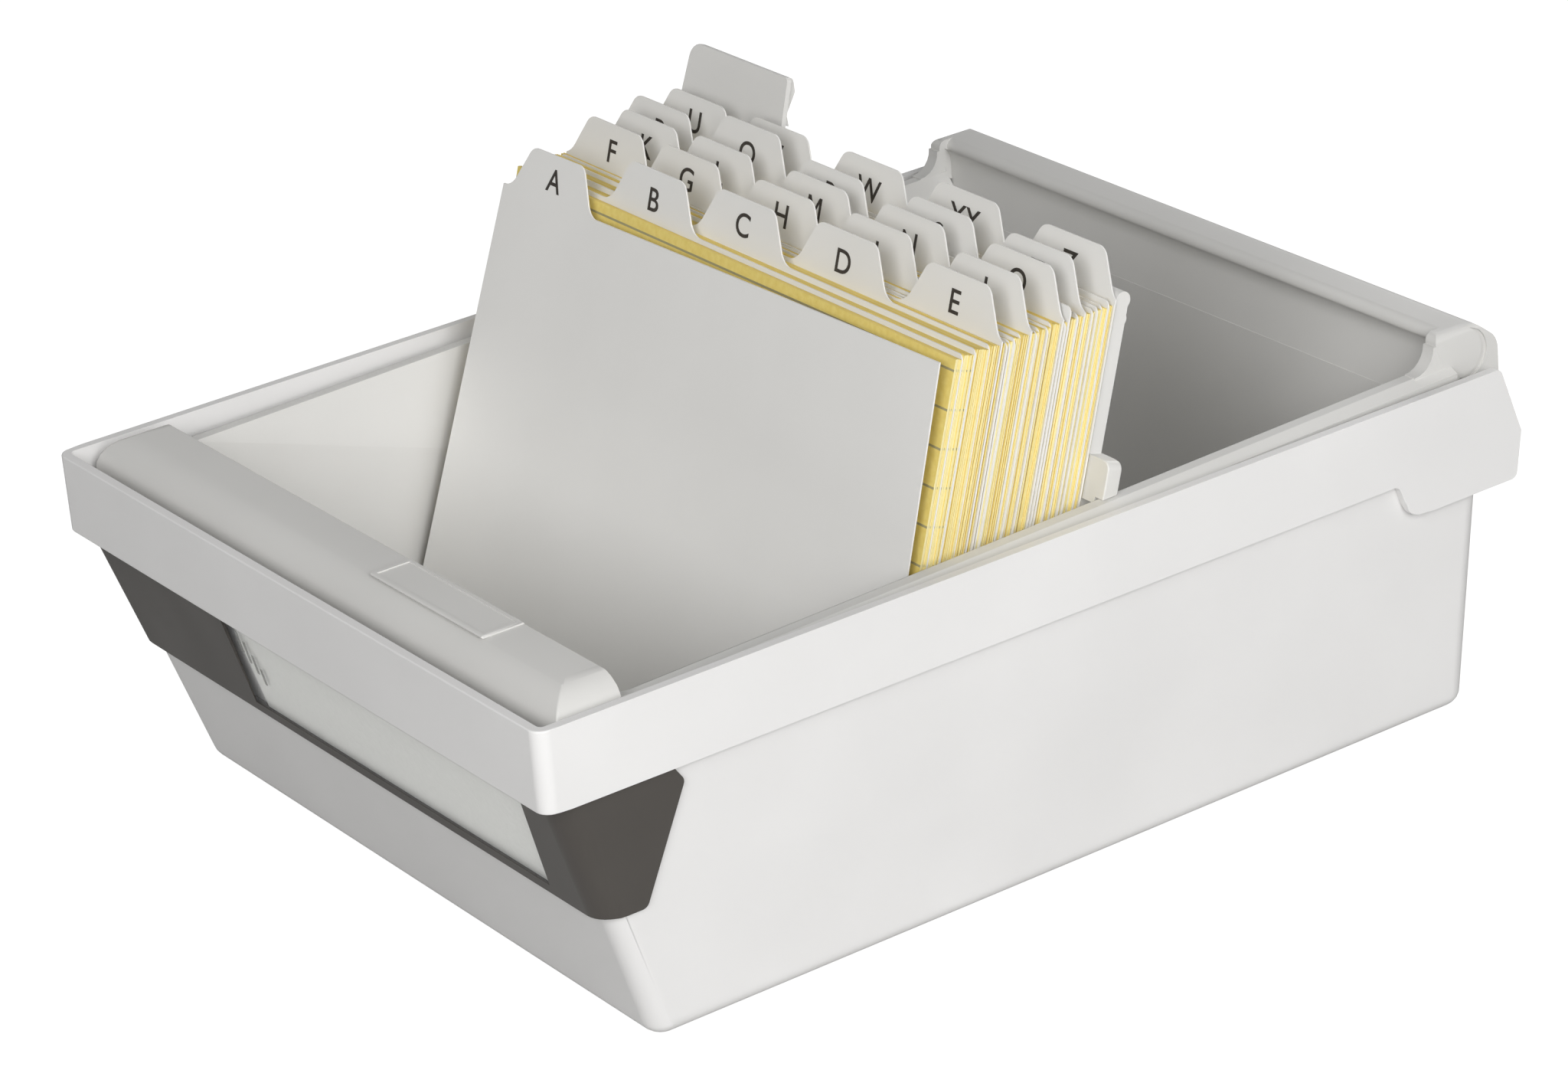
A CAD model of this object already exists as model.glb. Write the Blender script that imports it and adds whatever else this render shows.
"""Index card drawer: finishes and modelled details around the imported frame, in metres."""

import math

import bmesh
import bpy
from mathutils import Matrix, Vector


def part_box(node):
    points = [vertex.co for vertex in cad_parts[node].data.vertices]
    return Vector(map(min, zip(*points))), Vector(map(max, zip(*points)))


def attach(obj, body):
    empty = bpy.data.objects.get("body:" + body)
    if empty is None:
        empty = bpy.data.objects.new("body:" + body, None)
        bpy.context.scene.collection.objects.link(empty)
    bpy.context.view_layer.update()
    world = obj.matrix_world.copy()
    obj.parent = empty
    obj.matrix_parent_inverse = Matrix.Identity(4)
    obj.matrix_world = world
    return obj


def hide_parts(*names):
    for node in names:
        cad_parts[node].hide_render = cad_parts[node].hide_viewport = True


bl_info = {
    "name": "Index card drawer",
    "version": (1, 0, 0),
    "blender": (4, 5, 0),
    "location": "3D View > Sidebar > Card drawer",
    "description": "Finishes an index card drawer: mouldings, label, dividers, card packs and studio",
    "category": "Object",
}

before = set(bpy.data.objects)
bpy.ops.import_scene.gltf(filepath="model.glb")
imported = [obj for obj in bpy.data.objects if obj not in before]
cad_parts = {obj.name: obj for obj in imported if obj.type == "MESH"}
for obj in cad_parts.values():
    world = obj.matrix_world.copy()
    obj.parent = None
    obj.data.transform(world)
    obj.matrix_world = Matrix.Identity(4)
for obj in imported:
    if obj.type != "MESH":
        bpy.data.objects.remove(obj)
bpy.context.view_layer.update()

MM = 0.001
SQUARE_MM = MM * MM

# The lean of the cards and dividers at rest, as in the CAD source.
LEAN = math.radians(16.8)
SHEET_NORMAL = Vector((0, math.cos(LEAN), -math.sin(LEAN)))
SHEET_UP = Vector((0, math.sin(LEAN), math.cos(LEAN)))
SECTIONS = sorted(node[len("cards_"):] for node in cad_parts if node.startswith("cards_"))

# How the CAD meshes are cleaned and rounded: vertices closer than WELD are one, faces that turn less than
# FLAT_TURN are one flat face, and edges that turn more than SHARP_TURN are rounded where they have ROOM times the
# rounding's width beside and along them. Edges that still turn more than CREASE_TURN are shaded sharp.
WELD = 0.02 * MM
FLAT_TURN = math.radians(1.5)
SHARP_TURN = math.radians(28)
CREASE_TURN = math.radians(50)
ROOM = 1.3
BEVEL_SEGMENTS = 2

# A triangle turned over by more than FOLD_AREA is a fold, which the next of at most RETRIES roundings leaves out.
# Faces smaller than SLIVER_AREA don't take part in smooth shading.
FOLD_AREA = 0.02 * SQUARE_MM
SLIVER_AREA = 0.03 * SQUARE_MM
RETRIES = 5

# Ledges, gussets and the hood's ends lie farther out and farther back than this in the tray.
HOOD_END_X = 68 * MM
HOOD_END_Y = 84 * MM

# Loose cards: their pitch as a multiple of their thickness, the share of the pitch that a card fills, how much
# lower than the CAD block they are, and how far each is shifted sideways and along its height.
CARD_PITCH = 1.08
CARD_FILL = 0.95
CARD_TOP_AIR = 0.14 * MM
CARD_SIDE_SHIFT = 0.22 * MM
CARD_RISE_SHIFT = 0.07 * MM
RULED_SECTIONS = 2

# Letters: half their thickness, their distance from the tab, how far their outline is widened and how much they
# are stretched, both as shares of their size, and the share of the font's size that a capital is high.
INK = 0.01 * MM
INK_SEAT = 0.03 * MM
STROKE_GAIN = 0.012
LETTER_STRETCH = 1.08
CAPITAL_SHARE = 0.72

# Sockets that share their name with others of the same node: a Mix node's factor, colours and result, and the
# Random Value node's single value.
MIX_FACTOR, MIX_FIRST, MIX_SECOND, MIX_RESULT = 0, 6, 7, 2
RANDOM_FLOAT = 1


def section_parts(name):
    """A section's body, divider node and pack node."""
    return f"section_{name}", f"divider_{name}", f"cards_{name}"


# Materials


def linear(hex_code):
    """A linear colour from an sRGB hex code such as #C8C8C4."""
    channels = [int(hex_code[i:i + 2], 16) / 255 for i in (1, 3, 5)]
    return [c / 12.92 if c <= 0.04045 else ((c + 0.055) / 1.055) ** 2.4 for c in channels] + [1.0]


def add(tree, kind, sockets=None, **settings):
    """Adds a node. Settings are its properties; sockets maps an input to a value or another node's output."""
    node = tree.nodes.new(kind)
    for key, value in settings.items():
        setattr(node, key, value)
    for key, value in (sockets or {}).items():
        if isinstance(value, bpy.types.NodeSocket):
            tree.links.new(value, node.inputs[key])
        else:
            node.inputs[key].default_value = value
    return node


def new_material(name):
    """A material with an empty node tree, and that tree."""
    material = bpy.data.materials.new(name)
    material.use_nodes = True
    material.node_tree.nodes.clear()
    return material, material.node_tree


def output(tree, shader):
    add(tree, "ShaderNodeOutputMaterial", {"Surface": shader.outputs[0]})


def noise(tree, size_mm, detail=2.0):
    """Noise whose blotches are about size_mm wide, in object space."""
    place = add(tree, "ShaderNodeTexCoord").outputs["Object"]
    return add(tree, "ShaderNodeTexNoise", {"Vector": place, "Scale": 1 / (size_mm * MM), "Detail": detail})


def spread(tree, value, low, high):
    """Maps a noise value's usual span to the span from low to high."""
    return add(tree, "ShaderNodeMapRange", {
        "Value": value, "From Min": 0.3, "From Max": 0.7, "To Min": low, "To Max": high}).outputs["Result"]


def blend_colours(tree, factor, first, second):
    """A colour between two hex codes or two colour outputs."""
    node = add(tree, "ShaderNodeMix", data_type="RGBA")
    for index, colour in ((MIX_FIRST, first), (MIX_SECOND, second)):
        if isinstance(colour, str):
            node.inputs[index].default_value = linear(colour)
        else:
            tree.links.new(colour, node.inputs[index])
    tree.links.new(factor, node.inputs[MIX_FACTOR])
    return node.outputs[MIX_RESULT]


def moulded_polystyrene(name, light, dark, roughness, grain_mm=0.5, depth_mm=0.012):
    """Injection-moulded polystyrene: a satin skin with a fine spark-eroded grain, even in colour, whose
    gloss varies a little where the melt flowed. The grain is drawn a little coarser than it is, to show."""
    material, tree = new_material(name)
    flow = noise(tree, 45)
    grain = noise(tree, grain_mm, 3.0)
    bump = add(tree, "ShaderNodeBump", {
        "Height": grain.outputs["Fac"], "Strength": 0.5, "Distance": depth_mm * MM})
    shader = add(tree, "ShaderNodeBsdfPrincipled", {
        "Base Color": blend_colours(tree, spread(tree, flow.outputs["Fac"], 0, 1), light, dark),
        "Roughness": spread(tree, flow.outputs["Fac"], roughness - 0.04, roughness + 0.04),
        "IOR": 1.55, "Normal": bump.outputs["Normal"]})
    output(tree, shader)
    return material


def clear_polystyrene(name, tint, alpha):
    """Clear crystal polystyrene, polished: it mostly shows what lies behind it, under a sharp gloss."""
    material, tree = new_material(name)
    scuffs = noise(tree, 6, 4.0)
    shader = add(tree, "ShaderNodeBsdfPrincipled", {
        "Base Color": linear(tint), "Roughness": spread(tree, scuffs.outputs["Fac"], 0.08, 0.18),
        "IOR": 1.59, "Alpha": alpha})
    output(tree, shader)
    return material


def polypropylene_sheet(name, light, dark):
    """Extruded polypropylene sheet: matt, slightly cloudy, with a faint draw texture from the rollers. Its cut
    edges let the light through, so between cards they take on the cards' yellow."""
    material, tree = new_material(name)
    cloud = noise(tree, 50)
    skin = noise(tree, 0.6)
    bump = add(tree, "ShaderNodeBump", {
        "Height": skin.outputs["Fac"], "Strength": 0.35, "Distance": 0.01 * MM})
    shader = add(tree, "ShaderNodeBsdfPrincipled", {
        "Base Color": blend_colours(tree, spread(tree, cloud.outputs["Fac"], 0, 1), light, dark),
        "Roughness": 0.5, "IOR": 1.49, "Normal": bump.outputs["Normal"]})
    output(tree, shader)
    return material


def printed_ink(name, colour):
    """Screen-printed ink: flat, dense and nearly matt, with slightly uneven cover."""
    material, tree = new_material(name)
    cover = noise(tree, 0.8)
    shader = add(tree, "ShaderNodeBsdfPrincipled", {
        "Base Color": blend_colours(tree, spread(tree, cover.outputs["Fac"], 0, 1), colour, "#46413C"),
        "Roughness": 0.6, "Specular IOR Level": 0.3})
    output(tree, shader)
    return material


def card_edges(name, light, dark):
    """Cut edges of uncoated index card: yellow fibres, each card a little lighter or darker."""
    material, tree = new_material(name)
    tone = add(tree, "ShaderNodeAttribute", attribute_name="tone").outputs["Fac"]
    fibre = noise(tree, 0.7, 3.0)
    paper = blend_colours(tree, tone, light, dark)
    shader = add(tree, "ShaderNodeBsdfPrincipled", {
        "Base Color": blend_colours(tree, spread(tree, fibre.outputs["Fac"], 0, 0.15), paper, "#E2CB77"),
        "Roughness": 0.85, "Specular IOR Level": 0.3})
    output(tree, shader)
    return material


def ruled_card(name, pitch_mm):
    """Face of a ruled index card: soft yellow stock with thin grey feint lines across it."""
    material, tree = new_material(name)
    line_share = 0.06
    place = add(tree, "ShaderNodeTexCoord").outputs["Object"]
    upright = add(tree, "ShaderNodeMapping", {
        "Vector": place, "Rotation": (LEAN, 0, 0)}, vector_type="POINT")
    height = add(tree, "ShaderNodeSeparateXYZ", {"Vector": upright.outputs["Vector"]}).outputs["Z"]
    rows = add(tree, "ShaderNodeMath", {0: height, 1: pitch_mm * MM}, operation="DIVIDE").outputs[0]
    share = add(tree, "ShaderNodeMath", {0: rows}, operation="FRACT").outputs[0]
    line = add(tree, "ShaderNodeMath", {0: share, 1: line_share}, operation="LESS_THAN").outputs[0]
    fibre = noise(tree, 1.2, 3.0)
    stock = blend_colours(tree, spread(tree, fibre.outputs["Fac"], 0, 1), "#F0DC86", "#E9D277")
    shader = add(tree, "ShaderNodeBsdfPrincipled", {
        "Base Color": blend_colours(tree, line, stock, "#A79F7C"), "Roughness": 0.8,
        "Specular IOR Level": 0.3})
    output(tree, shader)
    return material


def label_paper(name, colour):
    """Uncoated label card: smooth, matt and faintly fibrous."""
    material, tree = new_material(name)
    fibre = noise(tree, 1.0, 4.0)
    shader = add(tree, "ShaderNodeBsdfPrincipled", {
        "Base Color": blend_colours(tree, spread(tree, fibre.outputs["Fac"], 0, 1), colour, "#F5F5F1"),
        "Roughness": 0.8})
    output(tree, shader)
    return material


# Meshes


def link(name, mesh):
    """A new object in the scene that shows the mesh."""
    piece = bpy.data.objects.new(name, mesh)
    bpy.context.scene.collection.objects.link(piece)
    return piece


def weighted(piece):
    """Smooth shading that keeps flat faces flat, kept in the mesh."""
    piece.data.shade_smooth()
    modifier = piece.modifiers.new("Weighted", "WEIGHTED_NORMAL")
    modifier.keep_sharp = True
    depsgraph = bpy.context.evaluated_depsgraph_get()
    mesh = bpy.data.meshes.new_from_object(piece.evaluated_get(depsgraph), depsgraph=depsgraph)
    piece.modifiers.clear()
    piece.data = mesh
    return piece


def folds(bm):
    """Corners of the triangles that lie the wrong way round in their face, where two roundings met."""
    bm.normal_update()
    spots = []
    for corners in bm.calc_loop_triangles():
        a, b, c = (loop.vert.co for loop in corners)
        if (b - a).cross(c - a).dot(corners[0].face.normal) < -FOLD_AREA:
            spots += [a.copy(), b.copy(), c.copy()]
    return spots


def near(vert, spots, reach):
    """Whether a vertex lies within reach of any of the spots."""
    return any((vert.co - spot).length < reach for spot in spots)


def flattened(node, spots=()):
    """The CAD mesh of a node with each flat face in one piece, except near the spots."""
    bm = bmesh.new()
    bm.from_mesh(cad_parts[node].data)
    bmesh.ops.remove_doubles(bm, verts=bm.verts, dist=WELD)
    clear = {v for v in bm.verts if not near(v, spots, 1 * MM)}
    bmesh.ops.dissolve_limit(bm, angle_limit=FLAT_TURN, verts=list(clear),
                             edges=[e for e in bm.edges if clear.issuperset(e.verts)])
    return bm


def rounded(plain, width, left_sharp, spots):
    """A copy of the mesh with a bevel on each sharp edge that has room for it and lies clear of the spots."""
    bm = plain.copy()
    crowded = {v for e in bm.edges if e.calc_length() < ROOM * width for v in e.verts}
    crowded |= {v for v in bm.verts if near(v, spots, 3 * width)}
    if left_sharp:
        crowded |= {v for v in bm.verts if left_sharp(v.co)}
    chosen = []
    for edge in bm.edges:
        if edge.is_manifold and edge.calc_face_angle() > SHARP_TURN:
            narrow = min(f.calc_area() for f in edge.link_faces) < ROOM * width * edge.calc_length()
            if narrow or not crowded.isdisjoint(edge.verts):
                edge.smooth = False
            else:
                chosen.append(edge)
    bmesh.ops.bevel(bm, geom=chosen, offset=width, segments=BEVEL_SEGMENTS, profile=0.5, affect="EDGES",
                    clamp_overlap=False, loop_slide=True)
    for edge in bm.edges:
        sliver = any(f.calc_area() < SLIVER_AREA for f in edge.link_faces)
        if sliver or edge.is_manifold and edge.calc_face_angle() > CREASE_TURN:
            edge.smooth = False
    return bm


def softened(node, name, radius_mm, left_sharp=None):
    """A copy of a CAD node with its sharp edges rounded, and its facets shaded smooth. Edges with an end where
    left_sharp answers yes stay as they are, and so do edges whose rounding would fold a face over."""
    plain = flattened(node)
    folded = folds(plain)
    if folded:
        plain.free()
        plain = flattened(node, folded)
    spots = []
    bm = rounded(plain, radius_mm * MM, left_sharp, spots)
    for _ in range(RETRIES):
        found = folds(bm)
        if not found:
            break
        spots += found
        bm.free()
        bm = rounded(plain, radius_mm * MM, left_sharp, spots)
    plain.free()
    mesh = bpy.data.meshes.new(name)
    bm.to_mesh(mesh)
    bm.free()
    piece = weighted(link(name, mesh))
    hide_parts(node)
    return piece


def paint(piece, *materials):
    """Gives a piece these materials, in this order, and returns it."""
    piece.data.materials.clear()
    for material in materials:
        piece.data.materials.append(material)
    return piece


def bake(name, tree, values):
    """Runs a geometry tree and keeps its result as a plain mesh."""
    piece = link(name, bpy.data.meshes.new(name))
    modifier = piece.modifiers.new("Nodes", "NODES")
    modifier.node_group = tree
    for item in tree.interface.items_tree:
        if item.item_type == "SOCKET" and item.in_out == "INPUT" and item.name in values:
            modifier[item.identifier] = values[item.name]
    piece.update_tag()
    depsgraph = bpy.context.evaluated_depsgraph_get()
    mesh = bpy.data.meshes.new_from_object(piece.evaluated_get(depsgraph), depsgraph=depsgraph)
    piece.modifiers.clear()
    piece.data = mesh
    if not mesh.polygons:
        raise RuntimeError(f"{name} came out empty")
    return piece


def card_pack_tree():
    """Geometry tree of a pack: thin cards in a row, each shifted a little, leaning back together."""
    tree = bpy.data.node_groups.new("Card pack", "GeometryNodeTree")
    sockets = {
        "Count": "NodeSocketInt", "Pitch": "NodeSocketFloat", "Card size": "NodeSocketVector",
        "Jitter": "NodeSocketVector", "Seed": "NodeSocketInt", "Lean": "NodeSocketVector",
        "Place": "NodeSocketVector", "Side material": "NodeSocketMaterial",
        "Top material": "NodeSocketMaterial", "Face material": "NodeSocketMaterial"}
    for label, kind in sockets.items():
        tree.interface.new_socket(label, in_out="INPUT", socket_type=kind)
    tree.interface.new_socket("Geometry", in_out="OUTPUT", socket_type="NodeSocketGeometry")
    given = add(tree, "NodeGroupInput").outputs
    step = add(tree, "ShaderNodeCombineXYZ", {"Y": given["Pitch"]}).outputs[0]
    row = add(tree, "GeometryNodeMeshLine", {"Count": given["Count"], "Offset": step}).outputs[0]
    back = add(tree, "ShaderNodeVectorMath", {
        0: given["Jitter"], 1: (-1, -1, -1)}, operation="MULTIPLY").outputs[0]
    shift = add(tree, "FunctionNodeRandomValue", {
        "Min": back, "Max": given["Jitter"], "Seed": given["Seed"]}, data_type="FLOAT_VECTOR").outputs[0]
    loose = add(tree, "GeometryNodeSetPosition", {"Geometry": row, "Offset": shift}).outputs[0]
    card = add(tree, "GeometryNodeMeshCube", {"Size": given["Card size"]}).outputs[0]
    cards = add(tree, "GeometryNodeInstanceOnPoints", {"Points": loose, "Instance": card}).outputs[0]
    tone = add(tree, "FunctionNodeRandomValue", {
        "Seed": given["Seed"]}, data_type="FLOAT").outputs[RANDOM_FLOAT]
    toned = add(tree, "GeometryNodeStoreNamedAttribute", {
        "Geometry": cards, "Name": "tone", "Value": tone}, data_type="FLOAT", domain="INSTANCE").outputs[0]
    leaning = add(tree, "GeometryNodeTransform", {
        "Geometry": toned, "Translation": given["Place"], "Rotation": given["Lean"]}).outputs[0]
    solid = add(tree, "GeometryNodeRealizeInstances", {"Geometry": leaning}).outputs[0]
    finished = add(tree, "GeometryNodeSetMaterial", {
        "Geometry": solid, "Material": given["Side material"]}).outputs[0]
    for label, direction in (("Top material", SHEET_UP), ("Face material", SHEET_NORMAL)):
        along = add(tree, "ShaderNodeVectorMath", {
            0: add(tree, "GeometryNodeInputNormal").outputs[0], 1: direction},
            operation="DOT_PRODUCT").outputs["Value"]
        size = add(tree, "ShaderNodeMath", {0: along}, operation="ABSOLUTE").outputs[0]
        chosen = add(tree, "FunctionNodeCompare", {
            0: size, 1: 0.5}, data_type="FLOAT", operation="GREATER_THAN").outputs[0]
        finished = add(tree, "GeometryNodeSetMaterial", {
            "Geometry": finished, "Selection": chosen, "Material": given[label]}).outputs[0]
    add(tree, "NodeGroupOutput", {"Geometry": finished})
    return tree


# Settings


class DrawerColours(bpy.types.PropertyGroup):
    """Colours of the drawer's mouldings, sheets and cards, as sRGB hex codes"""

    shell: bpy.props.StringProperty(name="Shell", description="Outer shell", default="#E6E5E4")
    tray: bpy.props.StringProperty(name="Tray", description="Inner tray and follower", default="#D9D8D5")
    trim: bpy.props.StringProperty(name="Trim", description="Label holder", default="#4A4642")
    label: bpy.props.StringProperty(name="Label", description="Label strip", default="#FBFBF7")
    divider: bpy.props.StringProperty(name="Dividers", description="Divider sheets", default="#EBEAE7")
    letters: bpy.props.StringProperty(name="Letters", description="Printed letters", default="#37322E")


class DrawerSizes(bpy.types.PropertyGroup):
    """Sizes of the details that are added to the frame"""

    edge: bpy.props.FloatProperty(
        name="Moulding edge", description="Radius of moulded edges, in millimetres",
        default=0.35, min=0.1, max=1)
    card: bpy.props.FloatProperty(
        name="Card thickness", description="Thickness of one card, in millimetres",
        default=0.2, min=0.1, max=0.5)
    ruling: bpy.props.FloatProperty(
        name="Ruling", description="Distance between ruled lines, in millimetres",
        default=7.5, min=4, max=12)
    letter: bpy.props.FloatProperty(
        name="Letter height", description="Height of the letters, in millimetres",
        default=4.8, min=2, max=7)
    letter_drop: bpy.props.FloatProperty(
        name="Letter place", description="Distance from a tab's top to its letter's middle, in millimetres",
        default=5, min=2, max=8)


# Operators


class DRAWER_OT_mouldings(bpy.types.Operator):
    """Finish the shell and the tray"""

    bl_idname = "drawer.mouldings"
    bl_label = "Shell and tray"

    def execute(self, context):
        colours, sizes = context.scene.drawer_colours, context.scene.drawer_sizes
        shell = softened("outer_shell", "shell", sizes.edge)
        paint(shell, moulded_polystyrene("Moulded polystyrene, shell", colours.shell, "#E0DFDE", 0.42))
        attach(shell, "drawer")
        tray = softened("inner_tray", "tray", sizes.edge, left_sharp=at_hood_end)
        paint(tray, moulded_polystyrene("Moulded polystyrene, tray", colours.tray, "#D3D2CF", 0.45))
        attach(tray, "drawer")
        return {"FINISHED"}


def at_hood_end(place):
    """Whether a place is where a ledge, its gusset and the hood's end meet, too tight for a rounded edge."""
    return abs(place.x) > HOOD_END_X and place.y > HOOD_END_Y


class DRAWER_OT_label(bpy.types.Operator):
    """Finish the label holder, its clear cover and the strip"""

    bl_idname = "drawer.label"
    bl_label = "Label holder"

    def execute(self, context):
        colours = context.scene.drawer_colours
        holder = softened("label_holder", "label_frame", 0.25)
        paint(holder, moulded_polystyrene(
            "Moulded polystyrene, charcoal", colours.trim, "#433F3B", 0.38, 0.4))
        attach(holder, "drawer")
        cover = softened("label_cover", "label_window", 0.12)
        paint(cover, clear_polystyrene("Clear polystyrene", "#F6F8F8", 0.1),
              clear_polystyrene("Clear polystyrene, cut grooves", "#8F8F8C", 0.85))
        frost_grooves(cover.data)
        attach(cover, "label_cover")
        paint(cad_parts["label_strip"], label_paper("Label card", colours.label))
        return {"FINISHED"}


def frost_grooves(mesh):
    """Gives the second material to the faces that lie inside the cover's thickness, away from its edges."""
    skin, side_margin, edge_margin = 0.1 * MM, 1 * MM, 2 * MM
    outward = max(mesh.polygons, key=lambda face: face.area * (face.normal.y < 0)).normal.copy()
    depths = [v.co.dot(outward) for v in mesh.vertices]
    sides = [v.co.x for v in mesh.vertices]
    heights = [v.co.z for v in mesh.vertices]
    for face in mesh.polygons:
        spot = face.center
        inside = min(depths) + skin < spot.dot(outward) < max(depths) - skin
        away = (min(sides) + side_margin < spot.x < max(sides) - side_margin
                and min(heights) + edge_margin < spot.z < max(heights) - edge_margin)
        face.material_index = 1 if inside and away else 0


class DRAWER_OT_follower(bpy.types.Operator):
    """Finish the follower plate and its grip tab"""

    bl_idname = "drawer.follower"
    bl_label = "Follower"

    def execute(self, context):
        colours = context.scene.drawer_colours
        plate = softened("follower_plate", "follower", 0.3)
        paint(plate, moulded_polystyrene("Moulded polystyrene, follower", colours.tray, "#DFDEDB", 0.42))
        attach(plate, "follower")
        grip = softened("grip_tab", "grip", 0.25)
        paint(grip, polypropylene_sheet("Translucent polypropylene", "#E3E2DF", "#DEDDDA"))
        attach(grip, "follower")
        return {"FINISHED"}


class DRAWER_OT_dividers(bpy.types.Operator):
    """Finish the dividers, whose cut edges take on the cards' yellow"""

    bl_idname = "drawer.dividers"
    bl_label = "Dividers"

    def execute(self, context):
        colours = context.scene.drawer_colours
        face = polypropylene_sheet("Polypropylene sheet", colours.divider, "#E7E6E3")
        edge = polypropylene_sheet("Polypropylene sheet, cut edge", "#EEE6BE", "#E8DEAE")
        for name in SECTIONS:
            body, node, _ = section_parts(name)
            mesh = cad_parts[node].data.copy()
            bm = bmesh.new()
            bm.from_mesh(mesh)
            bmesh.ops.remove_doubles(bm, verts=bm.verts, dist=WELD / 4)
            for polygon in bm.faces:
                polygon.material_index = 0 if abs(polygon.normal.dot(SHEET_NORMAL)) > 0.5 else 1
                polygon.smooth = False
            bm.to_mesh(mesh)
            bm.free()
            sheet = paint(link(f"sheet_{name}", mesh), face, edge)
            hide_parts(node)
            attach(sheet, body)
        return {"FINISHED"}


class DRAWER_OT_cards(bpy.types.Operator):
    """Fill each section with single cards"""

    bl_idname = "drawer.cards"
    bl_label = "Card packs"

    def execute(self, context):
        sizes = context.scene.drawer_sizes
        tree = card_pack_tree()
        side = card_edges("Index card, side edge", "#F8EFBE", "#F1E39F")
        top = card_edges("Index card, upper edge", "#F0DC8E", "#E3C96E")
        ruled = ruled_card("Index card, ruled face", sizes.ruling)
        for index, name in enumerate(SECTIONS):
            body, _, node = section_parts(name)
            front, back, foot = pack_extent(node)
            depth = back - front
            count = max(2, int(depth / (sizes.card * MM * CARD_PITCH)))
            pitch = depth / count
            height = pack_height(node)
            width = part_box(node)[1].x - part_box(node)[0].x
            start = Vector((0, foot.y, foot.z)) + Matrix.Rotation(-LEAN, 3, "X") @ Vector(
                (0, pitch / 2, height / 2))
            pack = bake(f"pack_{name}", tree, {
                "Count": count, "Pitch": pitch,
                "Card size": (width, pitch * CARD_FILL, height - CARD_TOP_AIR),
                "Jitter": (CARD_SIDE_SHIFT, 0, CARD_RISE_SHIFT), "Seed": index + 1, "Lean": (-LEAN, 0, 0),
                "Place": start, "Side material": side, "Top material": top,
                "Face material": ruled if index < RULED_SECTIONS else top})
            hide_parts(node)
            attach(pack, body)
        return {"FINISHED"}


def pack_extent(node):
    """A pack's front and back planes, measured square to its cards, and its front foot."""
    points = [v.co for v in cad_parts[node].data.vertices]
    across = [p.dot(SHEET_NORMAL) for p in points]
    front, back = min(across), max(across)
    foot = min((p for p, a in zip(points, across) if a < front + 0.01 * MM), key=lambda p: p.z)
    return front, back, foot


def pack_height(node):
    """A pack's size along its cards' height."""
    along = [v.co.dot(SHEET_UP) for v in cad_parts[node].data.vertices]
    return max(along) - min(along)


class DRAWER_OT_letters(bpy.types.Operator):
    """Print a letter on each tab"""

    bl_idname = "drawer.letters"
    bl_label = "Letters"

    def execute(self, context):
        colours, sizes = context.scene.drawer_colours, context.scene.drawer_sizes
        ink = printed_ink("Printed ink", colours.letters)
        for name in SECTIONS:
            body, node, _ = section_parts(name)
            letter = print_letter(name, tab_place(node, sizes.letter_drop * MM), sizes.letter * MM)
            paint(letter, ink)
            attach(letter, body)
        return {"FINISHED"}


def tab_place(node, drop):
    """A spot in the middle of a tab's front face, this far below the tab's top, and the face's right, up and
    outward directions."""
    rim_depth, face_depth = 1.2 * MM, 4 * MM
    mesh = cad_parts[node].data
    top = max(v.co.z for v in mesh.vertices)
    rim = [v.co for v in mesh.vertices if v.co.z > top - rim_depth]
    middle = (min(p.x for p in rim) + max(p.x for p in rim)) / 2
    tab = [f for f in mesh.polygons if f.normal.y < -0.5 and max(
        mesh.vertices[i].co.z for i in f.vertices) > top - face_depth]
    normal = sum((f.normal * f.area for f in tab), Vector()).normalized()
    right = Vector((0, 0, 1)).cross(normal).normalized()
    up = normal.cross(right)
    front = max((p.dot(normal), p.dot(up)) for p in rim)
    seat = normal * front[0] + up * (front[1] - drop)
    return seat + right * ((middle - seat.x) / right.x), right, up, normal


def letter_m(height, stroke):
    """Mesh of an M from its own outline, because Blender fills the font's M wrongly once its strokes are
    widened. Its notch dips to dip, its top corners are foot wide, and its slanting strokes are a little thinner."""
    wide, dip, foot, slanting = 0.86 * height, 0.46 * height, 1.2 * stroke, 0.85 * stroke
    lean = (height - dip) / (wide / 2 - foot)
    low = dip - slanting * math.hypot(1, lean)
    inner = low + lean * (wide / 2 - stroke)
    left = [(wide / 2, dip), (foot, height), (0, height), (0, 0), (stroke, 0), (stroke, inner)]
    right = [(wide - x, y) for x, y in reversed(left[1:])]
    bm = bmesh.new()
    face = bm.faces.new([bm.verts.new((x - wide / 2, y - height / 2, -INK))
                         for x, y in left + [(wide / 2, low)] + right])
    raised = bmesh.ops.extrude_face_region(bm, geom=[face])["geom"]
    bmesh.ops.translate(bm, vec=(0, 0, 2 * INK), verts=[v for v in raised if isinstance(v, bmesh.types.BMVert)])
    bmesh.ops.recalc_face_normals(bm, faces=bm.faces)
    mesh = bpy.data.meshes.new("letter_M")
    bm.to_mesh(mesh)
    bm.free()
    return mesh


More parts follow.
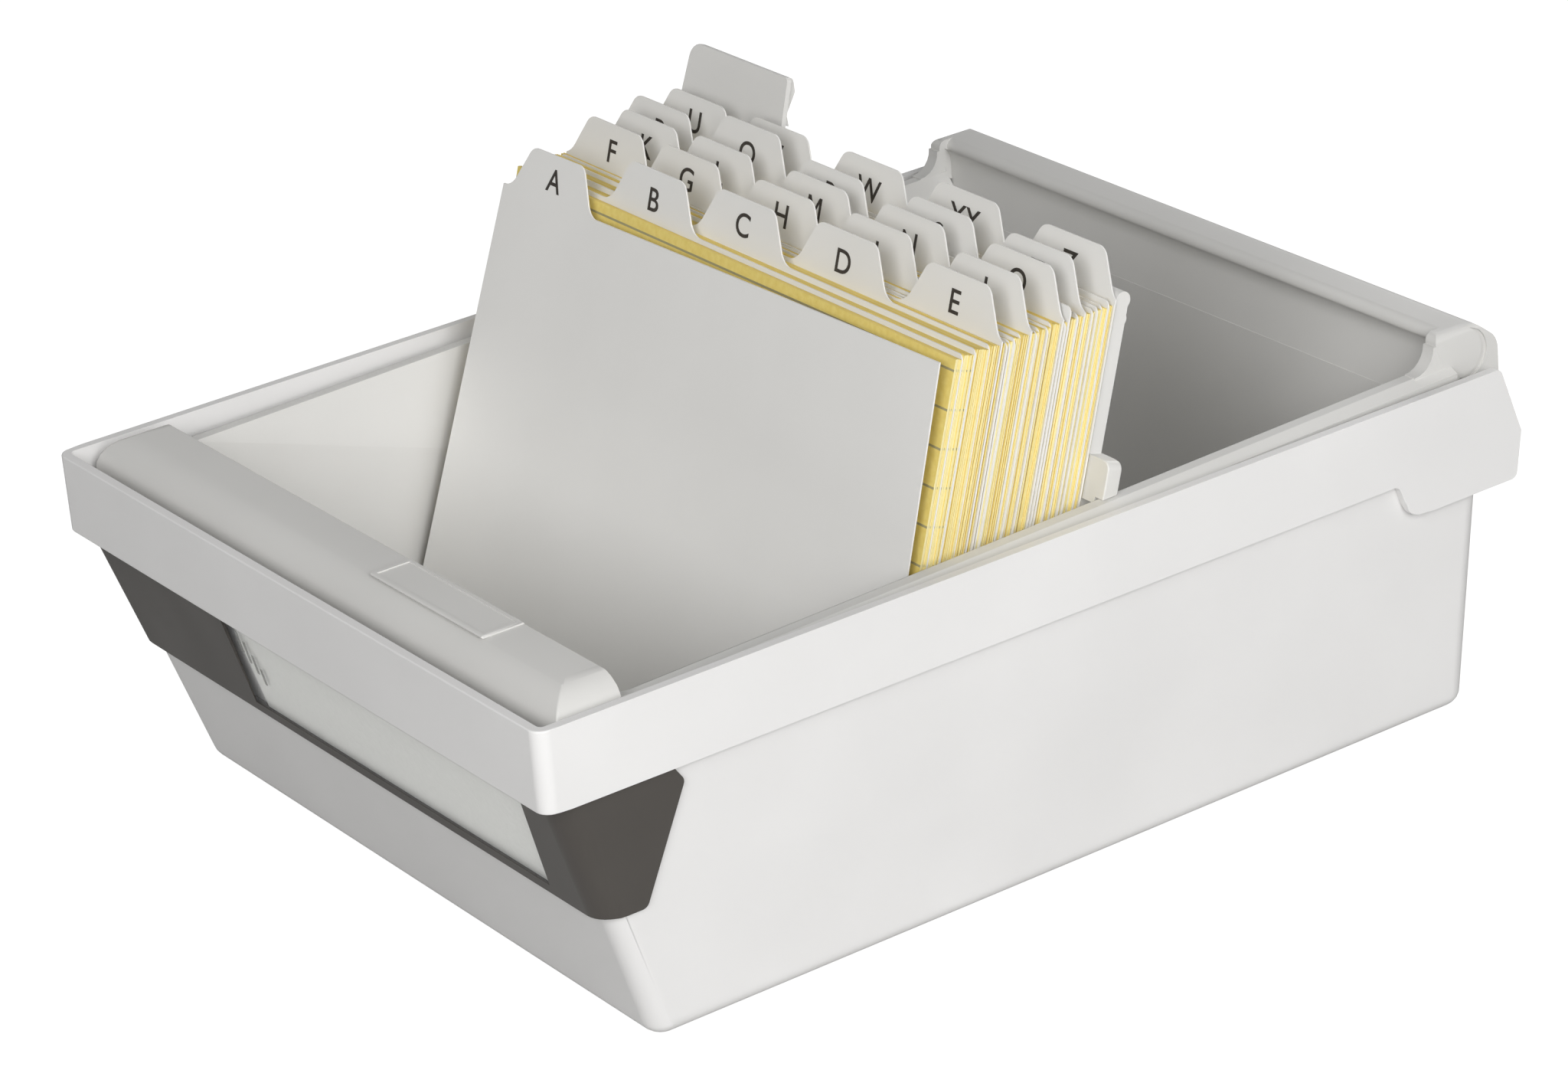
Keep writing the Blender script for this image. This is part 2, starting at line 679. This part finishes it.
def letter_mesh(name, height):
    """Mesh of a letter in Blender's own font, with its strokes widened a little."""
    text = bpy.data.curves.new(f"letter_{name}", "FONT")
    text.body = name
    text.align_x, text.align_y = "CENTER", "CENTER"
    text.size = height / CAPITAL_SHARE
    text.offset = STROKE_GAIN * height
    text.extrude = INK
    text.resolution_u = 6
    holder = bpy.data.objects.new(f"letter_{name}_text", text)
    bpy.context.scene.collection.objects.link(holder)
    depsgraph = bpy.context.evaluated_depsgraph_get()
    mesh = bpy.data.meshes.new_from_object(holder.evaluated_get(depsgraph), depsgraph=depsgraph)
    bpy.data.objects.remove(holder)
    mesh.name = f"letter_{name}"
    return mesh


def print_letter(name, place, height):
    """A thin printed letter on a tab, as a mesh."""
    seat, right, up, normal = place
    widened, stroke = 1.02 * height, 0.145 * height
    mesh = letter_m(widened, stroke) if name == "M" else letter_mesh(name, height)
    spot = seat + normal * INK_SEAT
    turn = Matrix((right, up, normal)).transposed().to_4x4()
    mesh.transform(Matrix.Translation(spot) @ turn @ Matrix.Diagonal((LETTER_STRETCH, 1, 1, 1)))
    return link(f"letter_{name}", mesh)


class DRAWER_OT_stage(bpy.types.Operator):
    """Make the camera, the lamps and the floor"""

    bl_idname = "drawer.stage"
    bl_label = "Studio"

    def execute(self, context):
        make_camera()
        make_lamps()
        make_floor()
        view = context.scene.view_settings
        view.view_transform = "Standard"
        return {"FINISHED"}


def make_camera():
    """The camera where the photograph's was, worked out from the drawer's own corners."""
    turn, rise, roll = math.radians(56.441), math.radians(24.247), math.radians(-4.956)
    distance, aside, below = 1063.007 * MM, -0.834 * MM, -7.592 * MM
    middle = Vector((0, -0.475 * MM, 52 * MM))
    ahead = Vector((-math.sin(turn) * math.cos(rise), math.cos(turn) * math.cos(rise), -math.sin(rise)))
    right = ahead.cross(Vector((0, 0, 1))).normalized()
    up = right.cross(ahead)
    right, up = (math.cos(roll) * right + math.sin(roll) * up, math.cos(roll) * up - math.sin(roll) * right)
    aim = middle + right * aside + up * below
    camera = bpy.data.cameras.new("Camera")
    camera.sensor_width = 36
    camera.lens = 122.67
    camera.clip_end = 20
    holder = bpy.data.objects.new("Camera", camera)
    bpy.context.scene.collection.objects.link(holder)
    pose = Matrix((right, up, -ahead)).transposed().to_4x4()
    pose.translation = aim - ahead * distance
    holder.matrix_world = pose
    bpy.context.scene.camera = holder


def area_lamp(name, place, size, watts):
    """A round lamp at a place, turned to the drawer's middle. Lengths are in metres."""
    aim = Vector((0, 0, 50 * MM))
    lamp = bpy.data.lights.new(name, "AREA")
    lamp.shape = "DISK"
    lamp.size = size
    lamp.energy = watts
    holder = bpy.data.objects.new(name, lamp)
    holder.matrix_world = Matrix.Translation(place) @ (
        aim - Vector(place)).to_track_quat("-Z", "Y").to_matrix().to_4x4()
    bpy.context.scene.collection.objects.link(holder)


def make_lamps():
    """A large soft key from the right, weaker ones from the front and from behind, and an even surround."""
    area_lamp("Key", (1.335, -0.23, 0.69), 0.9, 13)
    area_lamp("Fill", (0.76, -1.085, 0.755), 0.8, 10)
    area_lamp("Back", (-0.75, 1.35, 0.7), 0.9, 6)
    world = bpy.data.worlds.new("Studio")
    bpy.context.scene.world = world
    world.use_nodes = True
    tree = world.node_tree
    tree.nodes.clear()
    path = add(tree, "ShaderNodeLightPath")
    surround = add(tree, "ShaderNodeBackground", {"Color": (1, 1, 1, 1), "Strength": 0.2})
    backdrop = add(tree, "ShaderNodeBackground", {"Color": (1, 1, 1, 1), "Strength": 1.0})
    shown = add(tree, "ShaderNodeMath", {
        0: path.outputs["Is Camera Ray"], 1: path.outputs["Is Transmission Ray"]},
        operation="MAXIMUM").outputs[0]
    mix = add(tree, "ShaderNodeMixShader", {0: shown, 1: surround.outputs[0], 2: backdrop.outputs[0]})
    add(tree, "ShaderNodeOutputWorld", {"Surface": mix.outputs[0]})


def make_floor():
    """A pale matt floor that keeps the drawer's soft shadow and grows white with distance, like the backdrop."""
    half, shadow_end, white_from = 4, 0.6, 1.8
    corners = [(-half, -half, 0), (half, -half, 0), (half, half, 0), (-half, half, 0)]
    mesh = bpy.data.meshes.new("Floor")
    mesh.from_pydata(corners, [], [(0, 1, 2, 3)])
    floor = link("Floor", mesh)
    material, tree = new_material("Studio floor")
    path = add(tree, "ShaderNodeLightPath")
    matt = add(tree, "ShaderNodeBsdfDiffuse", {"Color": linear("#C4C4C3")})
    place = add(tree, "ShaderNodeTexCoord").outputs["Object"]
    reach = add(tree, "ShaderNodeVectorMath", {0: place}, operation="LENGTH").outputs["Value"]
    lift = add(tree, "ShaderNodeMapRange", {
        "Value": reach, "From Min": shadow_end, "From Max": white_from,
        "To Min": 0.8, "To Max": 1.0}).outputs[0]
    glow = add(tree, "ShaderNodeEmission", {"Color": (1, 1, 1, 1), "Strength": lift})
    lifted = add(tree, "ShaderNodeAddShader", {0: matt.outputs[0], 1: glow.outputs[0]})
    mix = add(tree, "ShaderNodeMixShader", {
        0: path.outputs["Is Camera Ray"], 1: matt.outputs[0], 2: lifted.outputs[0]})
    output(tree, mix)
    paint(floor, material)


OPERATORS = [
    DRAWER_OT_mouldings, DRAWER_OT_label, DRAWER_OT_follower, DRAWER_OT_dividers, DRAWER_OT_cards,
    DRAWER_OT_letters, DRAWER_OT_stage]


class DRAWER_PT_panel(bpy.types.Panel):
    """Lists the drawer's settings and steps"""

    bl_idname = "DRAWER_PT_panel"
    bl_label = "Card drawer"
    bl_space_type = "VIEW_3D"
    bl_region_type = "UI"
    bl_category = "Card drawer"

    def draw(self, context):
        for group in (context.scene.drawer_colours, context.scene.drawer_sizes):
            for field in group.__annotations__:
                self.layout.prop(group, field)
        for operator in OPERATORS:
            self.layout.operator(operator.bl_idname)


CLASSES = [DrawerColours, DrawerSizes, *OPERATORS, DRAWER_PT_panel]


def register():
    for item in CLASSES:
        bpy.utils.register_class(item)
    bpy.types.Scene.drawer_colours = bpy.props.PointerProperty(type=DrawerColours)
    bpy.types.Scene.drawer_sizes = bpy.props.PointerProperty(type=DrawerSizes)


def unregister():
    del bpy.types.Scene.drawer_colours, bpy.types.Scene.drawer_sizes
    for item in reversed(CLASSES):
        bpy.utils.unregister_class(item)


def main():
    register()
    for operator in OPERATORS:
        group, step = operator.bl_idname.split(".")
        getattr(getattr(bpy.ops, group), step)()


if __name__ == "__main__":
    main()
